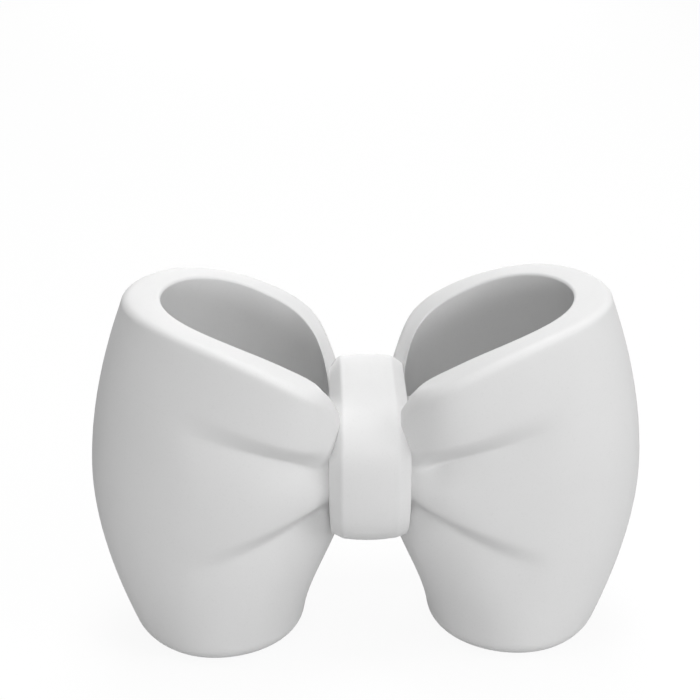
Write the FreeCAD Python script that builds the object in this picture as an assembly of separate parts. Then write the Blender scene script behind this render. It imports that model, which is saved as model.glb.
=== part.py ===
import FreeCAD, Part
import math
import os

os.makedirs("parts", exist_ok=True)
V = FreeCAD.Vector

# Bow-shaped toothbrush holder: two cup-shaped loops joined under a knot band.
# X runs across the bow, Y from front (minus) to back, Z up from the standing plane.

# Feet and non-slip pads
pad_thickness = 2.0
pad_proud = 0.5
pad_rim = 3.0
foot_edge_radius = 5.0
foot_outer_reach = 76.0
foot_inner_reach = 21.3
foot_half_depth = 29.0

# Outside of each loop, measured from the middle of the bow
belly_reach = 90.1
belly_height = 58.0
rim_reach = 77.0
belly_power = 1.85
rim_half_depth = 39.3
foot_middle = 50.0
rim_middle = 25.0
egg_blend_share = 0.7
rim_pinch_ratio = 0.58
pinch_power = 6.0
knot_fill_ratio = 0.35
knot_fill_height = 8.0
arch_height = 40.5
arch_power = 1.92

# Sloping rim
rim_height = 119.8
rim_drop = 23.0
rim_front_lift = 0.8
knot_dip_slope = 2.2
knot_dip_start = -1.0
knot_dip_soft = 1.5
lip_fall = 8.0
lip_fall_length = 4.0
rim_edge_radius = 3.0
rim_inner_radius = 1.0

# Cup inside each loop
wall_end = 12.3
wall_side = 12.4
wall_leg = 12.0
neck_wall = 3.6
floor_thickness = 10.0
floor_radius = 7.0
cup_shift = 11.0
cup_power = 3.0

# Folds pressed into the front and back of each loop
fold_depth = 10.0
fold_length = 46.0
fold_upper = 70.4
fold_upper_slope = 0.38
fold_lower = 59.2
fold_lower_slope = 0.42
fold_overhang = 8.5
fold_ledge = 5.5
fold_runout = 28.0
fold_power = 1.0
overhang_power = 1.5
panel_power = 1.6
ledge_share = 0.7
fold_near_share = 0.5
fold_near_length = 8.0

# Knot band
band_half_depth = 30.8
band_half_height = 25.2
band_centre = 65.6
band_half_width = 12.7
band_top_half_width = 12.1
band_bottom_half_width = 11.0
band_facet_width = 4.0
band_facet_drop = 4.5
band_bottom_drop = 1.5
band_edge_radius = 0.8
band_crown = 0.5
band_power = 3.2

# Neck spigots and dowels inside the band
spigot_half_depth = 20.0
spigot_half_height = 16.5
spigot_root = 3.0
bore_land = 8.5
land_width = 2.0
dowel_radius = 3.0
dowel_length = 18.0
dowel_spacing = 20.0

# Fits
glue_gap = 0.3
joint_gap = 0.1
dowel_end_gap = 0.5

columns = 80
base = pad_proud
knot_side = bore_land + neck_wall


def signed_power(value, power):
    return math.copysign(abs(value) ** power, value)


def turn(index):
    return 2.0 * math.pi * index / columns


def fade(z):
    return math.exp(-((max(z - base, 0.0) / arch_height) ** arch_power))


def egg(middle, outer, inner, depth, power_in, angle):
    """Point on an egg-shaped section whose outer half flows into its inner half."""
    c = math.cos(angle)
    s = math.sin(angle)
    power = power_in if c > 0.0 else 2.0
    blend = min(max(0.5 + 0.5 * c / egg_blend_share, 0.0), 1.0)
    share = blend * blend * (3.0 - 2.0 * blend)
    reach = (middle - outer) * (1.0 - share) + (inner - middle) * share
    x = middle + reach * signed_power(c, 2.0 / power)
    return x, depth * signed_power(s, 2.0 / power)


def outer_end(z):
    if z < belly_height:
        share = (belly_height - z) / (belly_height - base)
        return -belly_reach + (belly_reach - foot_outer_reach) * share ** belly_power
    share = (z - belly_height) / (rim_height - belly_height)
    return -belly_reach + (belly_reach - rim_reach) * share ** belly_power


def ease(z):
    return 0.5 - 0.5 * math.cos(math.pi * (z - base) / (rim_height - base))


def half_depth(z):
    return foot_half_depth + (rim_half_depth - foot_half_depth) * ease(z)


def middle(z):
    return -foot_middle + (foot_middle - rim_middle) * ease(z)


def loop_section(angle, z):
    inner = -foot_inner_reach * fade(z)
    fill = math.exp(-(((z - band_centre) / knot_fill_height) ** 2))
    power = 2.0 + knot_fill_ratio * fill
    x, y = egg(middle(z), outer_end(z), inner, half_depth(z), power, angle)
    inward = max(math.cos(angle), 0.0)
    return x, y * (1.0 - rim_pinch_ratio * ease(z) ** pinch_power * inward ** 2)


def cup_section(angle, z):
    inner = -knot_side - (foot_inner_reach + wall_leg - knot_side) * fade(z)
    outer = outer_end(z) + wall_end
    depth = half_depth(z) - wall_side
    return egg(middle(z) - cup_shift * ease(z), outer, inner, depth, cup_power, angle)


def inset(section, angle, z, distance):
    """Point of a section moved inwards at right angles to its outline."""
    x, y = section(angle, z)
    x1, y1 = section(angle - 0.02, z)
    x2, y2 = section(angle + 0.02, z)
    length = math.hypot(x2 - x1, y2 - y1)
    return x - distance * (y2 - y1) / length, y + distance * (x2 - x1) / length


def rim_z(x, y):
    share = (x + rim_reach) / (rim_reach - knot_side)
    inside = (x + knot_side - knot_dip_start) / knot_dip_soft
    dip = knot_dip_slope * knot_dip_soft * math.log1p(math.exp(inside))
    lift = 0.5 * rim_front_lift * (1.0 - y / rim_half_depth)
    return rim_height - rim_drop * share ** 2 - dip + lift


def lip_z(x, y, share):
    """Rim height at a share of the way from its outer to its inner edge."""
    fall = lip_fall * math.exp(min(x + knot_side, 0.0) / lip_fall_length)
    return rim_z(x, y) - share * fall


def rim_at(section, angle, share):
    z = rim_height
    for step in range(30):
        x, y = section(angle, z)
        z = 0.5 * (z + lip_z(x, y, share))
    return z


def press(z, upper, lower):
    """Share of the fold depth at a height: overhang, panel, ledge and run-out."""
    if z > upper:
        return max(1.0 - (z - upper) / fold_overhang, 0.0) ** overhang_power
    valley = lower - fold_ledge
    if z < valley:
        return ledge_share * max(1.0 - (valley - z) / fold_runout, 0.0) ** 2
    if z > lower:
        return ((z - lower) / (upper - lower)) ** panel_power
    return ledge_share * (lower - z) / fold_ledge


def fold(x, z):
    out = max(-x - band_half_width, 0.0)
    share = 1.0 - out / fold_length
    if share <= 0.0:
        return 0.0
    upper = fold_upper + fold_upper_slope * out
    lower = fold_lower - fold_lower_slope * out
    near = 1.0 - (1.0 - fold_near_share) * max(1.0 - out / fold_near_length, 0.0) ** 2
    return fold_depth * near * share ** fold_power * press(z, upper, lower)


def loop_wall(angle, z):
    x, y = loop_section(angle, z)
    return inset(loop_section, angle, z, fold(x, z) * abs(math.sin(angle)))


def loop_profile(angle):
    """Points from the base edge up the outside, over the rim and down into the cup."""
    points = []
    for step in range(6):
        a = 0.1 * math.pi * step
        z = base + foot_edge_radius * (1.0 - math.cos(a))
        x, y = inset(loop_section, angle, z, foot_edge_radius * (1.0 - math.sin(a)))
        points.append(V(x, y, z))
    low = base + foot_edge_radius
    high = rim_at(loop_section, angle, 0.0) - rim_edge_radius
    rows = 84
    for step in range(1, rows):
        z = low + (high - low) * step / rows
        x, y = loop_wall(angle, z)
        points.append(V(x, y, z))
    for step in range(5):
        a = 0.125 * math.pi * step
        x, y = inset(loop_section, angle, high, rim_edge_radius * (1.0 - math.cos(a)))
        points.append(V(x, y, rim_z(x, y) - rim_edge_radius * (1.0 - math.sin(a))))
    deep = rim_at(cup_section, angle, 1.0) - rim_inner_radius
    x1, y1 = x, y
    x2, y2 = inset(cup_section, angle, deep, -rim_inner_radius)
    for share in (0.25, 0.5, 0.75):
        x = x1 + (x2 - x1) * share
        y = y1 + (y2 - y1) * share
        points.append(V(x, y, lip_z(x, y, share)))
    for step in range(5):
        a = 0.125 * math.pi * step
        x, y = inset(cup_section, angle, deep, -rim_inner_radius * (1.0 - math.sin(a)))
        points.append(V(x, y, lip_z(x, y, 1.0) - rim_inner_radius * (1.0 - math.cos(a))))
    floor = base + floor_thickness
    rows = 18
    for step in range(1, rows):
        z = deep + (floor + floor_radius - deep) * step / rows
        x, y = cup_section(angle, z)
        points.append(V(x, y, z))
    for step in range(6):
        a = 0.1 * math.pi * step
        z = floor + floor_radius * (1.0 - math.sin(a))
        x, y = inset(cup_section, angle, z, floor_radius * (1.0 - math.cos(a)))
        points.append(V(x, y, z))
    return points


def ring(points):
    """Closed smooth curve led by a ring of points."""
    curve = Part.BSplineCurve()
    count = len(points)
    curve.buildFromPolesMultsKnots(points, [1] * (count + 1), list(range(count + 1)), True, 3)
    return curve


def flat_face(points):
    return Part.Face(Part.Wire([ring(points).toShape()]))


def prism(points, along):
    return flat_face(points).extrude(along)


def closed_skin(profiles):
    """Solid from a smooth skin round the profiles with a flat face at each end."""
    rows = len(profiles[0])
    skin = Part.BSplineSurface()
    skin.buildFromPolesMultsKnots(
        profiles,
        [1] * (len(profiles) + 1),
        [4] + [1] * (rows - 4) + [4],
        list(range(len(profiles) + 1)),
        list(range(rows - 2)),
        True,
        False,
        3,
        3,
    )
    first = flat_face([p[0] for p in profiles])
    last = flat_face([p[-1] for p in profiles])
    shell = Part.makeShell([skin.toShape(), first, last])
    shell.sewShape(0.001)
    solid = Part.makeSolid(shell)
    if solid.Volume < 0.0:
        solid.reverse()
    return solid


def band_outline(angle, depth, height, x):
    y = depth * signed_power(math.cos(angle), 2.0 / band_power)
    z = height * signed_power(math.sin(angle), 2.0 / band_power)
    return V(x, y, band_centre + z)


def band_profile(angle, grow):
    """Points across the band from one side of the bore land to the other."""
    s = math.sin(angle)
    end_width = band_top_half_width if s > 0.0 else band_bottom_half_width
    wide = band_half_width + (end_width - band_half_width) * s * s + grow
    depth = band_half_depth + grow
    height = band_half_height + grow
    land = bore_land + grow
    land_depth = spigot_half_depth + land_width - grow
    land_height = spigot_half_height + land_width - grow
    bottom = min(s, 0.0) ** 2
    facet_drop = band_facet_drop + (band_bottom_drop - band_facet_drop) * bottom
    toe = facet_drop + band_edge_radius + 2.0 * grow
    flat = wide - band_facet_width
    half = []
    for share in (0.0, 0.5):
        d = land_depth + (depth - toe - land_depth) * share
        h = land_height + (height - toe - land_height) * share
        half.append((d, h, land + (wide - land) * share))
    half.append((depth - toe, height - toe, wide - band_edge_radius))
    half.append((depth - toe, height - toe, wide))
    for share in (0.1, 0.5, 0.9):
        drop = facet_drop * (1.0 - share)
        half.append((depth - drop, height - drop, wide - band_facet_width * share))
    half.append((depth, height, flat - band_edge_radius))
    for share in (0.67, 0.33):
        lift = band_crown * (1.0 - share * share)
        half.append((depth + lift, height + lift, flat * share))
    left = [band_outline(angle, d, h, -x) for d, h, x in half]
    right = [band_outline(angle, d, h, x) for d, h, x in reversed(half)]
    return left + right


def band_envelope(grow):
    return closed_skin([band_profile(turn(i), grow) for i in range(columns)])


def neck_prism(grow, start, end):
    depth = spigot_half_depth + grow
    height = spigot_half_height + grow
    points = [band_outline(turn(i), depth, height, start) for i in range(columns)]
    return prism(points, V(end - start, 0.0, 0.0))


def foot_oval(grow, start, end):
    centre = -0.5 * (foot_outer_reach + foot_inner_reach)
    edge = foot_edge_radius + pad_rim - grow
    reach = 0.5 * (foot_outer_reach - foot_inner_reach) - edge
    depth = foot_half_depth - edge
    points = []
    for i in range(columns):
        x = centre + reach * math.cos(turn(i))
        points.append(V(x, depth * math.sin(turn(i)), start))
    return prism(points, V(0.0, 0.0, end - start))


def dowel(radius, length, level):
    z = band_centre + level * 0.5 * dowel_spacing
    return Part.makeCylinder(radius, length, V(-0.5 * length, 0.0, z), V(1.0, 0.0, 0.0))


def loop_cup():
    cup = closed_skin([loop_profile(turn(i)) for i in range(columns)])
    cup = cup.cut(band_envelope(glue_gap))
    cup = cup.fuse(neck_prism(0.0, -bore_land - spigot_root, -0.5 * joint_gap))
    cup = cup.cut(foot_oval(glue_gap, base - 1.0, pad_thickness))
    for level in (-1.0, 1.0):
        hole = dowel(dowel_radius + glue_gap, dowel_length + 2.0 * dowel_end_gap, level)
        cup = cup.cut(hole)
    return cup


def knot_band():
    return band_envelope(0.0).cut(neck_prism(glue_gap, -2.0 * bore_land, 2.0 * bore_land))


def mirrored(shape):
    return shape.mirror(V(0.0, 0.0, 0.0), V(1.0, 0.0, 0.0))


def write(name, shape):
    shape.exportStep("parts/" + name + ".step")


left_cup = loop_cup()
left_pad = foot_oval(0.0, 0.0, pad_thickness)
write("left_loop_cup", left_cup)
write("right_loop_cup", mirrored(left_cup))
write("knot_band", knot_band())
write("left_foot_pad", left_pad)
write("right_foot_pad", mirrored(left_pad))
dowels = [dowel(dowel_radius, dowel_length, level) for level in (-1.0, 1.0)]
write("neck_dowels", Part.makeCompound(dowels))
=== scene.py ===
import math

import bmesh
import bpy
from mathutils import Matrix, Vector


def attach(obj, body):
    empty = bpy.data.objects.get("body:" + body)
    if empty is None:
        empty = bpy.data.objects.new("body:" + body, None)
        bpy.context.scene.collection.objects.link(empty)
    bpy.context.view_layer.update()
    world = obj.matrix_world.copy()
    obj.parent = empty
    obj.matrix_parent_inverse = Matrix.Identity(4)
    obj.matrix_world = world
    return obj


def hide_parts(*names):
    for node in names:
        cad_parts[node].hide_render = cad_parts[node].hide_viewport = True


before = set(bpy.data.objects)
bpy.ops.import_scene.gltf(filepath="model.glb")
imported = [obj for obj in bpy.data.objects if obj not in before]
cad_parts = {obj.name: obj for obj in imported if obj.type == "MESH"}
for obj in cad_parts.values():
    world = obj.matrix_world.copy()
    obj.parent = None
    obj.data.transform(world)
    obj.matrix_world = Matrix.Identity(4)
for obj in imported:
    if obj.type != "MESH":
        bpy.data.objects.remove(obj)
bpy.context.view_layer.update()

MM = 0.001

# Knot band, in millimetres, sized as its solid, apart from the fill that closes the glue joint
# round it, the squarer bottom corners, the deeper sides and the shallower facet on the right
BAND_FILL = 0.25
BAND_HALF_DEPTH = 30.8
BAND_HALF_HEIGHT = 25.2
BAND_CENTRE = 65.6
BAND_HALF_WIDTH = 12.7
BAND_TOP_HALF_WIDTH = 12.1
BAND_BOTTOM_HALF_WIDTH = 11.5
BAND_POWER = 3.2
BAND_CROWN = 0.5
BAND_EDGE = 0.8
BAND_SKIRT = 4.0
FACET_WIDTH = 4.0
FACET_DROP = 4.5
FACET_RIGHT_DROP = 2.4
FACET_BOTTOM_DROP = 0.5
BORE_HALF_WIDTH = 8.5
BORE_HALF_DEPTH = 20.3
BORE_HALF_HEIGHT = 16.8
BORE_LIP = 1.0
BAND_FLAT = BAND_HALF_WIDTH - FACET_WIDTH
BAND_TOE = FACET_DROP + BAND_EDGE

# Mesh of the band: where the points of its cross-section lie, as shares, and how fine it is
BORE_SHARE = 0.6
BORE_LIP_SHARE = 0.2
SIDE_SHARES = ((1.0, 0.6), (0.2, 0.4))
TOE_SHARE = 0.8
FACET_SHARES = (0.06, 0.2, 0.5, 0.8, 0.95)
SHOULDER_SHARES = ((0.4, 0.0), (1.5, 0.1))
CROWN_SHARES = (0.6, 0.25)
BAND_STATIONS = 96
BAND_SUBDIVISION = 2
SEAM_DISTANCE = 0.001

# Finishes
LOOP_TONE = 0.68
BAND_TONE = 0.69
CLOUD_SPREAD = 0.012

# Camera of the photograph: place in metres, angles in degrees, lens and sensor in millimetres
CAMERA_PLACE = (-0.0221, -0.5055, 0.3272)
CAMERA_YAW = 1.879
CAMERA_PITCH = 24.202
CAMERA_ROLL = 0.102
CAMERA_LENS = 89.01
CAMERA_NEAR = 0.01
SENSOR_WIDTH = 36.0

# Studio
LIGHT_TARGET = Vector((0.0, 0.0, 0.06))
LIGHT_DISTANCE = 1.1
FLOOR_SIZE = 8.0
FLOOR_BOUNCE = 0.36
FLOOR_WHITE = 0.95
FLOOR_SHADOW_SHARE = 0.08


def grey(level):
    return (level, level, level)


def signed_power(value, power):
    return math.copysign(abs(value) ** power, value)


def piece_from(bm, name, material, body):
    """Finished mesh object that rides on a body and takes a material slot's finish."""
    mesh = bpy.data.meshes.new(name)
    bm.to_mesh(mesh)
    bm.free()
    for face in mesh.polygons:
        face.use_smooth = True
    mesh.materials.append(material)
    piece = bpy.data.objects.new(name, mesh)
    bpy.context.scene.collection.objects.link(piece)
    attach(piece, body)
    return piece


def add_subdivision(piece, levels):
    smooth = piece.modifiers.new("smooth surface", "SUBSURF")
    smooth.levels = levels
    smooth.render_levels = levels


def band_half_profile():
    """Half of the band's cross-section from the bore to the crown: distance out and drop."""
    bore = BAND_TOE + BAND_SKIRT
    half = [
        (BORE_HALF_WIDTH * BORE_SHARE, bore),
        (BORE_HALF_WIDTH, bore),
        (BORE_HALF_WIDTH + BORE_LIP, bore - BAND_SKIRT * BORE_LIP_SHARE),
    ]
    for edge_share, skirt_share in SIDE_SHARES:
        half.append((BAND_HALF_WIDTH - BAND_EDGE * edge_share, BAND_TOE + BAND_SKIRT * skirt_share))
    half.append((BAND_HALF_WIDTH, BAND_TOE))
    half.append((BAND_HALF_WIDTH, BAND_TOE - BAND_EDGE * TOE_SHARE))
    for share in FACET_SHARES:
        half.append((BAND_HALF_WIDTH - FACET_WIDTH * share, FACET_DROP * (1.0 - share)))
    for edge_share, crown_share in SHOULDER_SHARES:
        half.append((BAND_FLAT - BAND_EDGE * edge_share, -BAND_CROWN * crown_share))
    for share in CROWN_SHARES:
        half.append((BAND_FLAT * share, -BAND_CROWN * (1.0 - share * share)))
    return half


def band_place(x, drop, angle):
    """Where a point of the turned cross-section lies on the band's rounded-square course."""
    rise = math.sin(angle)
    end_width = BAND_TOP_HALF_WIDTH if rise > 0.0 else BAND_BOTTOM_HALF_WIDTH
    wider = (end_width - BAND_HALF_WIDTH) * rise * rise
    facet = FACET_DROP if x < 0.0 else FACET_RIGHT_DROP
    facet += (FACET_BOTTOM_DROP - facet) * min(rise, 0.0) ** 2
    inward = max(drop - BAND_TOE, 0.0) / BAND_SKIRT
    outward = 1.0 - inward
    if drop > FACET_DROP:
        drop = min(drop, BAND_TOE) - FACET_DROP + facet
    elif drop > 0.0:
        drop = drop * facet / FACET_DROP
    depth = (BAND_HALF_DEPTH + BAND_FILL - drop) * outward + BORE_HALF_DEPTH * inward
    height = (BAND_HALF_HEIGHT + BAND_FILL - drop) * outward + BORE_HALF_HEIGHT * inward
    if abs(x) > BAND_FLAT:
        x += math.copysign(1.0, x) * (wider + BAND_FILL) * outward
    elif inward == 0.0:
        x *= (BAND_FLAT + wider) / BAND_FLAT
    y = depth * signed_power(math.cos(angle), 2.0 / BAND_POWER)
    z = height * signed_power(rise, 2.0 / BAND_POWER)
    return Vector((x, y, BAND_CENTRE + z)) * MM


def knot_band(material):
    """Band round the neck: a faceted cross-section turned once and drawn to its course."""
    bm = bmesh.new()
    half = band_half_profile()
    outline = [(-x, drop) for x, drop in half] + [(x, drop) for x, drop in reversed(half)]
    reach = BAND_HALF_DEPTH
    corners = [bm.verts.new((x, reach - drop, 0.0)) for x, drop in outline]
    edges = [bm.edges.new(pair) for pair in zip(corners, corners[1:] + corners[:1])]
    bmesh.ops.spin(
        bm,
        geom=corners + edges,
        cent=(0.0, 0.0, 0.0),
        axis=(1.0, 0.0, 0.0),
        angle=2.0 * math.pi,
        steps=BAND_STATIONS,
        use_merge=True,
    )
    bmesh.ops.remove_doubles(bm, verts=bm.verts, dist=SEAM_DISTANCE)
    for vert in bm.verts:
        radius = math.hypot(vert.co.y, vert.co.z)
        angle = math.atan2(vert.co.z, vert.co.y)
        vert.co = band_place(vert.co.x, reach - radius, angle)
    bmesh.ops.recalc_face_normals(bm, faces=bm.faces)
    piece = piece_from(bm, "knot_band_wrap", material, "root")
    add_subdivision(piece, BAND_SUBDIVISION)
    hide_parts("knot_band")


class Finish:
    """Node material under construction, read in the object's own coordinates."""

    def __init__(self, name):
        self.material = bpy.data.materials.new(name)
        self.material.use_nodes = True
        self.nodes = self.material.node_tree.nodes
        self.links = self.material.node_tree.links
        self.shader = self.nodes["Principled BSDF"]
        self.place = self.nodes.new("ShaderNodeTexCoord").outputs["Object"]

    def noise(self, scale, detail, roughness=0.5, stretch=(1.0, 1.0, 1.0)):
        mapping = self.nodes.new("ShaderNodeMapping")
        mapping.inputs["Scale"].default_value = stretch
        self.links.new(self.place, mapping.inputs["Vector"])
        noise = self.nodes.new("ShaderNodeTexNoise")
        noise.inputs["Scale"].default_value = scale
        noise.inputs["Detail"].default_value = detail
        noise.inputs["Roughness"].default_value = roughness
        self.links.new(mapping.outputs["Vector"], noise.inputs["Vector"])
        return noise.outputs["Fac"]

    def ramp(self, factor, low, high, start=0.3, end=0.7):
        ramp = self.nodes.new("ShaderNodeValToRGB")
        ramp.color_ramp.elements[0].position = start
        ramp.color_ramp.elements[0].color = (*low, 1.0)
        ramp.color_ramp.elements[1].position = end
        ramp.color_ramp.elements[1].color = (*high, 1.0)
        self.links.new(factor, ramp.inputs["Fac"])
        return ramp.outputs["Color"]

    def multiply(self, first, second, share):
        mix = self.nodes.new("ShaderNodeMix")
        mix.data_type = "RGBA"
        mix.blend_type = "MULTIPLY"
        mix.inputs["Factor"].default_value = share
        self.links.new(first, mix.inputs["A"])
        self.links.new(second, mix.inputs["B"])
        return mix.outputs["Result"]

    def colour(self, output):
        self.links.new(output, self.shader.inputs["Base Color"])

    def roughness(self, factor, low, high):
        spread = self.nodes.new("ShaderNodeMapRange")
        spread.inputs["To Min"].default_value = low
        spread.inputs["To Max"].default_value = high
        self.links.new(factor, spread.inputs["Value"])
        self.links.new(spread.outputs["Result"], self.shader.inputs["Roughness"])

    def bump(self, heights):
        """Stack of surface textures, each a height and its depth in metres."""
        normal = None
        for factor, depth in heights:
            bump = self.nodes.new("ShaderNodeBump")
            bump.inputs["Strength"].default_value = 1.0
            bump.inputs["Distance"].default_value = depth
            self.links.new(factor, bump.inputs["Height"])
            if normal:
                self.links.new(normal, bump.inputs["Normal"])
            normal = bump.outputs["Normal"]
        self.links.new(normal, self.shader.inputs["Normal"])


def cast_white(name, tone):
    """Matt white casting: faint cloudy tone, fine pores and a hand-rubbed surface."""
    finish = Finish(name)
    clouds = finish.noise(scale=22.0, detail=4.0, roughness=0.55)
    specks = finish.noise(scale=1400.0, detail=2.0)
    rubbed = finish.noise(scale=120.0, detail=5.0, roughness=0.6, stretch=(1.0, 1.0, 0.45))
    base = finish.ramp(clouds, low=grey(tone - CLOUD_SPREAD), high=grey(tone + CLOUD_SPREAD))
    dust = finish.ramp(specks, low=grey(0.955), high=grey(1.0), start=0.28, end=0.42)
    finish.colour(finish.multiply(base, dust, share=0.6))
    finish.roughness(rubbed, low=0.52, high=0.66)
    finish.bump([(rubbed, 0.06 * MM), (specks, 0.012 * MM)])
    finish.shader.inputs["Specular IOR Level"].default_value = 0.35
    return finish.material


def pad_finish_and_painted_contact_shadow():
    """Grey non-slip pads with a pebbled face; their dark grey is partly their own colour and partly
    painted contact shadow under the feet.
    """
    finish = Finish("non-slip rubber")
    pebbles = finish.noise(scale=700.0, detail=3.0)
    patches = finish.noise(scale=60.0, detail=3.0)
    # Dark grey tone: the pads' own colour, and also painted contact shadow where their thin edge
    # shows under the feet.
    finish.colour(finish.ramp(patches, low=grey(0.10), high=(0.15, 0.15, 0.148)))
    finish.roughness(pebbles, low=0.7, high=0.9)
    finish.bump([(pebbles, 0.15 * MM)])
    finish.shader.inputs["Specular IOR Level"].default_value = 0.3
    return finish.material


def dowel_wood():
    """Pale beech with grain along the dowel and short darker flecks."""
    finish = Finish("beech dowel")
    grain = finish.noise(scale=900.0, detail=6.0, roughness=0.6, stretch=(0.06, 1.0, 1.0))
    flecks = finish.noise(scale=1600.0, detail=2.0, stretch=(0.2, 1.0, 1.0))
    base = finish.ramp(grain, low=(0.44, 0.28, 0.15), high=(0.62, 0.44, 0.27))
    dark = finish.ramp(flecks, low=(0.72, 0.62, 0.52), high=grey(1.0), start=0.3, end=0.4)
    finish.colour(finish.multiply(base, dark, share=0.5))
    finish.roughness(grain, low=0.6, high=0.75)
    finish.bump([(grain, 0.08 * MM)])
    return finish.material


def dress(node, material):
    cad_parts[node].data.materials[0] = material


def seen_by_camera(tree):
    """1 for rays from the camera, a mirror or glass, 0 for light bouncing about."""
    path = tree.nodes.new("ShaderNodeLightPath")
    total = path.outputs["Is Camera Ray"]
    for other in ("Is Glossy Ray", "Is Transmission Ray"):
        larger = tree.nodes.new("ShaderNodeMath")
        larger.operation = "MAXIMUM"
        tree.links.new(total, larger.inputs[0])
        tree.links.new(path.outputs[other], larger.inputs[1])
        total = larger.outputs["Value"]
    return total


def floor_material():
    """Pale floor that the camera sees as white, with a light share of the shadow on it."""
    material = bpy.data.materials.new("studio floor")
    material.use_nodes = True
    nodes = material.node_tree.nodes
    links = material.node_tree.links
    nodes.remove(nodes["Principled BSDF"])
    output = nodes["Material Output"]
    bounce = nodes.new("ShaderNodeBsdfDiffuse")
    bounce.inputs["Color"].default_value = (*grey(FLOOR_BOUNCE), 1.0)
    sheet = nodes.new("ShaderNodeBsdfDiffuse")
    sheet.inputs["Color"].default_value = (*grey(FLOOR_WHITE), 1.0)
    glow = nodes.new("ShaderNodeEmission")
    glow.inputs["Strength"].default_value = 1.0
    seen = nodes.new("ShaderNodeMixShader")
    seen.inputs["Fac"].default_value = 1.0 - FLOOR_SHADOW_SHARE
    links.new(sheet.outputs["BSDF"], seen.inputs[1])
    links.new(glow.outputs["Emission"], seen.inputs[2])
    chosen = nodes.new("ShaderNodeMixShader")
    links.new(seen_by_camera(material.node_tree), chosen.inputs["Fac"])
    links.new(bounce.outputs["BSDF"], chosen.inputs[1])
    links.new(seen.outputs["Shader"], chosen.inputs[2])
    links.new(chosen.outputs["Shader"], output.inputs["Surface"])
    return material


def add_floor():
    bm = bmesh.new()
    bmesh.ops.create_grid(bm, x_segments=1, y_segments=1, size=FLOOR_SIZE / 2.0)
    mesh = bpy.data.meshes.new("studio_floor")
    bm.to_mesh(mesh)
    bm.free()
    mesh.materials.append(floor_material())
    floor = bpy.data.objects.new("studio_floor", mesh)
    bpy.context.scene.collection.objects.link(floor)


def add_world():
    """White behind everything, which throws no light on the object except in its gloss."""
    world = bpy.data.worlds.new("studio")
    bpy.context.scene.world = world
    world.use_nodes = True
    tree = world.node_tree
    background = tree.nodes["Background"]
    background.inputs["Color"].default_value = (*grey(1.0), 1.0)
    tree.links.new(seen_by_camera(tree), background.inputs["Strength"])


def add_softbox(name, azimuth, elevation, size, watts):
    """Square soft lamp aimed at the object; azimuth 0 is the front, positive to the right."""
    lamp = bpy.data.lights.new(name, "AREA")
    lamp.shape = "SQUARE"
    lamp.size = size
    lamp.energy = watts
    holder = bpy.data.objects.new(name, lamp)
    bpy.context.scene.collection.objects.link(holder)
    around = math.radians(azimuth)
    up = math.radians(elevation)
    flat = math.cos(up)
    away = Vector((math.sin(around) * flat, -math.cos(around) * flat, math.sin(up)))
    holder.location = LIGHT_TARGET + away * LIGHT_DISTANCE
    holder.rotation_euler = away.to_track_quat("Z", "Y").to_euler()
    holder.visible_camera = False


def add_camera():
    camera = bpy.data.cameras.new("photo camera")
    camera.sensor_width = SENSOR_WIDTH
    camera.lens = CAMERA_LENS
    camera.clip_start = CAMERA_NEAR
    holder = bpy.data.objects.new("photo camera", camera)
    bpy.context.scene.collection.objects.link(holder)
    yaw = Matrix.Rotation(math.radians(-CAMERA_YAW), 4, "Z")
    pitch = Matrix.Rotation(math.radians(90.0 - CAMERA_PITCH), 4, "X")
    roll = Matrix.Rotation(math.radians(CAMERA_ROLL), 4, "Z")
    holder.matrix_world = Matrix.Translation(CAMERA_PLACE) @ yaw @ pitch @ roll
    bpy.context.scene.camera = holder


loop_finish = cast_white("matt cast white", LOOP_TONE)
dress("left_loop_cup", loop_finish)
dress("right_loop_cup", loop_finish)
# Foot pads: dark grey of their own, also painted contact shadow as a thin line under the feet.
pads_dark_as_contact_shadow = pad_finish_and_painted_contact_shadow()
dress("left_foot_pad", pads_dark_as_contact_shadow)
dress("right_foot_pad", pads_dark_as_contact_shadow)
dress("neck_dowels", dowel_wood())
knot_band(cast_white("matt cast white of the band", BAND_TONE))

add_floor()
add_world()
add_softbox("overhead", azimuth=0.0, elevation=90.0, size=0.35, watts=5.2)
add_softbox("low front", azimuth=0.0, elevation=5.0, size=0.3, watts=4.3)
add_softbox("high front", azimuth=0.0, elevation=40.0, size=0.6, watts=2.3)
add_softbox("left fill", azimuth=-60.0, elevation=12.0, size=0.5, watts=1.7)
add_softbox("right fill", azimuth=60.0, elevation=12.0, size=0.5, watts=3.5)
add_softbox("right key", azimuth=75.0, elevation=35.0, size=0.6, watts=2.7)
add_softbox("back", azimuth=180.0, elevation=60.0, size=0.6, watts=5.2)
add_softbox("low back", azimuth=180.0, elevation=10.0, size=0.3, watts=1.8)
add_camera()
bpy.context.scene.view_settings.view_transform = "Standard"
